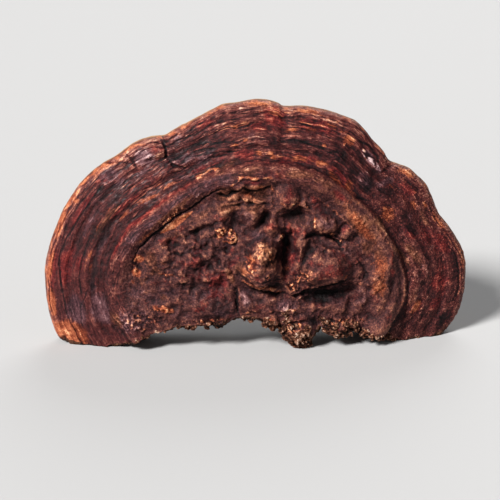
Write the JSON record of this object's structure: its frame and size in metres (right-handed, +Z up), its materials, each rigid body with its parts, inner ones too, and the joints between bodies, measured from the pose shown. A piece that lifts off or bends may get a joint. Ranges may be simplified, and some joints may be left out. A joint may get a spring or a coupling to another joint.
{
  "type": "dried reishi mushroom",
  "caption": "Large dried reishi bracket, a lacquered half-disc cap with growth rings and a lumpy middle, standing upright on its torn, flat-cut attachment edge.",
  "frame": {"origin": "centre of the cap's footprint box, on the floor plane of its cut edge", "axes": "+X to the right seen from the lacquered side, +Y from the lacquered face to the pore face, +Z up from the cut edge to the rim"},
  "size_m": [0.3071, 0.0693, 0.174],
  "materials": {
    "reishi_cap": "dark mahogany-red natural lacquer with near-black rings, semi-gloss and dusty in places, pale orange-tan where it is worn"
  },
  "bodies": {
    "root": {"cap": "reishi_cap"}
  },
  "joints": []
}
